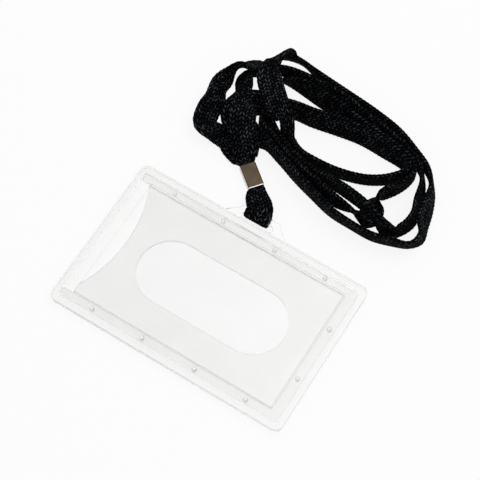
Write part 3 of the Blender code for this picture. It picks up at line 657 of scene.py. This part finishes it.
def loop_rows(settings):
    """Rows of x, y, z, direction of the width, width and thickness, round the slot loop."""
    direction = FERRULE_ANGLE - 0.5 * math.pi
    held = (-END_FROM_MIDDLE, -0.25 * FERRULE_LENGTH, -0.5 * FERRULE_LENGTH - PINCH_REACH)
    size = (PINCHED_WIDTH, HELD_THICKNESS)

    def leg(rows):
        thickness = settings.loop_thickness
        return [[x * MM, y * MM + HOLDER_MIDDLE.y, z * MM, math.radians(angle), width * MM, thickness]
                for x, y, z, angle, width in rows]

    rows = [[*ferrule_point(along, -1), direction, *size] for along in held]
    rows += leg(LOWER_LEG)
    for step in range(LOOP_TURN_STEPS + 1):
        angle = math.pi * step / LOOP_TURN_STEPS
        late = max(0.0, (angle - LOOP_SKEW_START) / (math.pi - LOOP_SKEW_START))
        rows.append([BAR_AXIS.x, BAR_AXIS.y - LOOP_RADIUS * math.sin(angle),
                     BAR_AXIS.z - LOOP_RADIUS * math.cos(angle), LOOP_SKEW * late,
                     settings.width, settings.loop_thickness])
    # The upper leg is the wider of the two where it enters the ferrule
    upper = [[*ferrule_point(along, 1), direction, *size] for along in reversed(held)]
    upper[0][4] = UPPER_LEG_MOUTH_WIDTH
    return np.array(rows + leg(UPPER_LEG) + upper)


def between(rows, share):
    """Row on the smooth cubic between the middle two of four rows, with centripetal knots."""
    knots = [0.0]
    for first, second in zip(rows, rows[1:]):
        knots.append(knots[-1] + np.linalg.norm(second[:3] - first[:3]) ** 0.5)
    t = knots[1] + (knots[2] - knots[1]) * share

    def blend(start, end, first, second):
        weight = (t - knots[start]) / (knots[end] - knots[start])
        return (1 - weight) * first + weight * second

    lines = [blend(i, i + 1, rows[i], rows[i + 1]) for i in range(3)]
    arcs = [blend(i, i + 2, lines[i], lines[i + 1]) for i in range(2)]
    return blend(1, 2, arcs[0], arcs[1])


def even_rows(rows, step, pieces=8):
    """Evenly spaced rows along one smooth curve through the given ones, and its length."""
    rows = np.vstack([2 * rows[0] - rows[1], rows, 2 * rows[-1] - rows[-2]])
    fine = []
    for i in range(1, len(rows) - 2):
        fine += [between(rows[i - 1:i + 3], k / pieces) for k in range(pieces)]
    fine = np.array(fine + [rows[-2]])
    steps = np.linalg.norm(np.diff(fine[:, :3], axis=0), axis=1)
    run = np.concatenate([[0], np.cumsum(steps)])
    even = np.linspace(0, run[-1], round(run[-1] / step) + 1)
    columns = [np.interp(even, run, fine[:, k]) for k in range(fine.shape[1])]
    return np.column_stack(columns), run[-1]


def unit(vectors):
    """The vectors, each brought to length 1."""
    return vectors / np.linalg.norm(vectors, axis=1)[:, None]


def leaning_frames(rows):
    """Directions across the strap and out of its face, from how far its left side leans up."""
    along = unit(np.gradient(rows[:, :3], axis=0))
    left = unit(np.cross([0, 0, 1], along))
    up = np.cross(along, left)
    lean = rows[:, 3:4]
    across = left * np.cos(lean) + up * np.sin(lean)
    return across, np.cross(along, across)


def turned_frames(rows):
    """Directions across the loop and out of its face, from the direction of its width."""
    along = unit(np.gradient(rows[:, :3], axis=0))
    width = np.column_stack([np.cos(rows[:, 3]), np.sin(rows[:, 3]), np.zeros(len(rows))])
    across = unit(width - along * (along * width).sum(axis=1)[:, None])
    return across, np.cross(along, across)


def neighbours(values, reach):
    """Each value with those up to the reach before and after it, as one list for each shift."""
    padded = np.pad(values, reach, mode="edge")
    return [padded[k:k + len(values)] for k in range(2 * reach + 1)]


def squeezed(rows, across, step, settings):
    """Thickness along the strap, less where another stretch of it lies close."""
    shares = np.linspace(-0.5, 0.5, 5)
    sheet = rows[:, None, :3] + across[:, None] * (shares[None, :, None] * rows[:, 4][:, None, None])
    tree = KDTree(sheet.shape[0] * sheet.shape[1])
    for index, point in enumerate(sheet.reshape(-1, 3)):
        tree.insert(point, index)
    tree.balance()
    apart = round(OTHER_STRETCH / step)
    room = np.full(len(rows), settings.thickness)
    for ring, points in enumerate(sheet):
        for point in points:
            for _, index, distance in tree.find_range(point, settings.thickness):
                if abs(index // len(shares) - ring) > apart:
                    room[ring] = min(room[ring], distance)
    room = np.min(neighbours(room, EASING_RINGS), axis=0)
    return np.minimum(rows[:, 5], np.mean(neighbours(room, EASING_RINGS), axis=0))


def band_outline(width, thickness, count):
    """Evenly spaced points round the strap's full, soft-edged section, with their outward normals."""
    angle = np.linspace(0, 2 * math.pi, 721)
    x = 0.5 * width * np.sign(np.cos(angle)) * np.abs(np.cos(angle)) ** EDGE_POWER
    y = 0.5 * thickness * np.sign(np.sin(angle)) * np.abs(np.sin(angle)) ** FACE_POWER
    run = np.concatenate([[0], np.cumsum(np.hypot(np.diff(x), np.diff(y)))])
    even = np.linspace(0, run[-1], count + 1)
    x, y = np.interp(even, run, x), np.interp(even, run, y)
    closed_x, closed_y = np.append(x, x[1]), np.append(y, y[1])
    slope_x = np.gradient(np.insert(closed_x, 0, x[-2]))[1:-1]
    slope_y = np.gradient(np.insert(closed_y, 0, y[-2]))[1:-1]
    size = np.hypot(slope_x, slope_y)
    return x / width, y / thickness, slope_y / size, -slope_x / size


def stitch_height(column, stitch):
    """Height of the knit, from 0 to 1, at a place counted in columns and stitches."""
    number = np.floor(column)
    side = column - number - 0.5
    slant = stitch + STITCH_SLANT * side * (2 * (number % 2) - 1) + STAGGER * number ** 2
    wave = 0.5 + 0.5 * np.cos(2 * math.pi * slant)
    return np.cos(math.pi * side) * wave


def knitted_band(name, rows, frames, step, settings):
    """A closed flat tube along the rows, with raised stitches, mapped by columns and stitches."""
    across, out = frames
    around = COLUMNS_ROUND * POINTS_PER_COLUMN
    x, y, normal_x, normal_y = band_outline(settings.width, settings.thickness, around)
    rings = len(rows)
    shape = bmesh.new()
    bmesh.ops.create_grid(shape, x_segments=around, y_segments=rings - 1, size=0.5)
    mesh = mesh_from(shape, name)
    grid = np.empty(len(mesh.vertices) * 3, np.float32)
    mesh.vertices.foreach_get("co", grid)
    grid = grid.reshape(-1, 3)
    point = np.rint((grid[:, 0] + 0.5) * around).astype(int)
    ring = np.rint((grid[:, 1] + 0.5) * (rings - 1)).astype(int)
    column = point / POINTS_PER_COLUMN
    stitch = ring * step / settings.stitch
    gathered = 1 - rows[ring, 4] / settings.width
    pleat = PLEAT_HEIGHT * gathered * np.cos(PLEATS * math.pi * 2 * x[point])
    height = (stitch_height(column % COLUMNS_ROUND, stitch) - 0.5) * settings.relief
    height *= 1 - RELIEF_LOSS * gathered
    sideways = x[point] * rows[ring, 4] + normal_x[point] * height
    outwards = y[point] * rows[ring, 5] + normal_y[point] * height + pleat
    place = rows[ring, :3] + across[ring] * sideways[:, None] + out[ring] * outwards[:, None]
    place[:, 2] = np.maximum(place[:, 2], TABLE_GAP)
    mesh.vertices.foreach_set("co", place.astype(np.float32).ravel())
    corner = np.empty(len(mesh.loops), np.int32)
    mesh.loops.foreach_get("vertex_index", corner)
    for layer in list(mesh.uv_layers):
        mesh.uv_layers.remove(layer)
    uv = mesh.uv_layers.new(name="knit")
    uv.data.foreach_set("uv", np.column_stack([column, stitch])[corner].astype(np.float32).ravel())
    shape = bmesh.new()
    shape.from_mesh(mesh)
    bmesh.ops.remove_doubles(shape, verts=shape.verts, dist=1e-7)
    ends = [edge for edge in shape.edges if edge.is_boundary]
    bmesh.ops.holes_fill(shape, edges=ends, sides=0)
    bmesh.ops.recalc_face_normals(shape, faces=shape.faces)
    shape.to_mesh(mesh)
    shape.free()
    mesh.shade_smooth()
    return new_object(name, mesh)


class BADGE_OT_neck_strap(bpy.types.Operator):
    """Makes the knitted neck strap along its whole route"""
    bl_idname = "badge.neck_strap"
    bl_label = "Neck strap"

    def execute(self, context):
        settings = context.scene.badge_strap
        step = settings.stitch / RINGS_PER_STITCH
        rows, length = even_rows(strap_rows(settings), step)
        frames = leaning_frames(rows)
        rows[:, 5] = squeezed(rows, frames[0], step, settings)
        strap = knitted_band("neck_strap_knit", rows, frames, step, settings)
        finish_piece(strap, knit_material("strap_knit_black"), "lanyard", "strap_knit", "neck_strap")
        return {"FINISHED"}


class BADGE_OT_slot_loop(bpy.types.Operator):
    """Makes the strap's loop through the slot"""
    bl_idname = "badge.slot_loop"
    bl_label = "Slot loop"

    def execute(self, context):
        settings = context.scene.badge_strap
        step = LOOP_STEP_SHARE * settings.stitch / RINGS_PER_STITCH
        rows, _ = even_rows(loop_rows(settings), step)
        loop = knitted_band("slot_loop_knit", rows, turned_frames(rows), step, settings)
        finish_piece(loop, knit_material("loop_knit_black"), "lanyard", "strap_knit", "slot_loop")
        return {"FINISHED"}


class BADGE_PT_panel(bpy.types.Panel):
    """Lists the pieces of the badge holder"""
    bl_label = "Badge Holder"
    bl_idname = "BADGE_PT_panel"
    bl_space_type = "VIEW_3D"
    bl_region_type = "UI"
    bl_category = "Badge"

    def draw(self, context):
        scene = context.scene
        for group in (scene.badge_stage, scene.badge_holder, scene.badge_strap, scene.badge_ferrule):
            box = self.layout.box()
            for key in group.bl_rna.properties.keys():
                if key not in ("rna_type", "name"):
                    box.prop(group, key)
        for operator in OPERATORS:
            self.layout.operator(operator.bl_idname)


GROUPS = {
    "badge_holder": BadgeHolderSettings,
    "badge_strap": BadgeStrapSettings,
    "badge_ferrule": BadgeFerruleSettings,
    "badge_stage": BadgeStageSettings,
}
OPERATORS = (BADGE_OT_stage, BADGE_OT_neck_strap, BADGE_OT_slot_loop, BADGE_OT_ferrule, BADGE_OT_shells,
             BADGE_OT_studs)


def register():
    for name, group in GROUPS.items():
        bpy.utils.register_class(group)
        setattr(bpy.types.Scene, name, bpy.props.PointerProperty(type=group))
    for operator in OPERATORS:
        bpy.utils.register_class(operator)
    bpy.utils.register_class(BADGE_PT_panel)


def unregister():
    bpy.utils.unregister_class(BADGE_PT_panel)
    for operator in reversed(OPERATORS):
        bpy.utils.unregister_class(operator)
    for name, group in GROUPS.items():
        delattr(bpy.types.Scene, name)
        bpy.utils.unregister_class(group)


def main():
    register()
    bpy.ops.badge.stage()
    bpy.ops.badge.neck_strap()
    bpy.ops.badge.slot_loop()
    bpy.ops.badge.ferrule()
    bpy.ops.badge.shells()
    bpy.ops.badge.studs()


if __name__ == "__main__":
    main()
